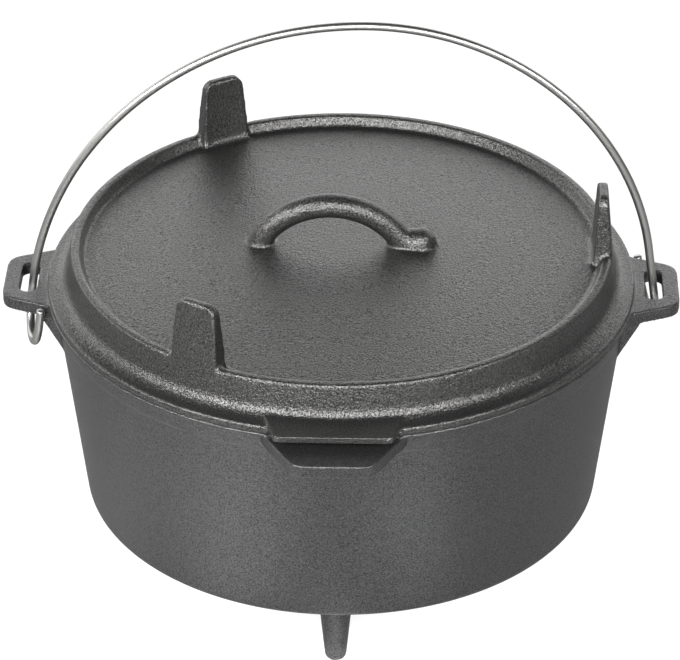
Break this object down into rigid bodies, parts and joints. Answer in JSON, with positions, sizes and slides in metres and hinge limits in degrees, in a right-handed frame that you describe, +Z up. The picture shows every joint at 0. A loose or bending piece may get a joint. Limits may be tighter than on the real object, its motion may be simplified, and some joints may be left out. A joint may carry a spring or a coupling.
{
  "type": "camp oven",
  "caption": "Cast-iron camp oven: a drafted round pot on short legs with slotted ears, a rimmed lid with an arched grip and upright lugs, and a swinging wire bail.",
  "frame": {"origin": "on the pot's axis at the ground, level with the undersides of the feet", "axes": "+Z up along the pot's axis, X through the two ears, -Y towards the front tab"},
  "size_m": [0.42, 0.392, 0.3691],
  "materials": {
    "pot": "seasoned sand-cast grain",
    "lid": "seasoned sand-cast grain",
    "bail": "bright drawn wire"
  },
  "bodies": {
    "pot": {"pot": "pot"},
    "lid": {"lid": "lid"},
    "bail": {"bail": "bail"}
  },
  "joints": [
    {"name": "bail_swing", "type": "hinge", "parent": "pot", "child": "bail", "pos_m": [0, 0, 0.1844], "axis": [1, 0, 0], "range_deg": [-45, 45]},
    {"name": "lid_lift", "type": "slide", "parent": "pot", "child": "lid", "axis": [0, 0, 1], "range_m": [0, 0.015]}
  ]
}
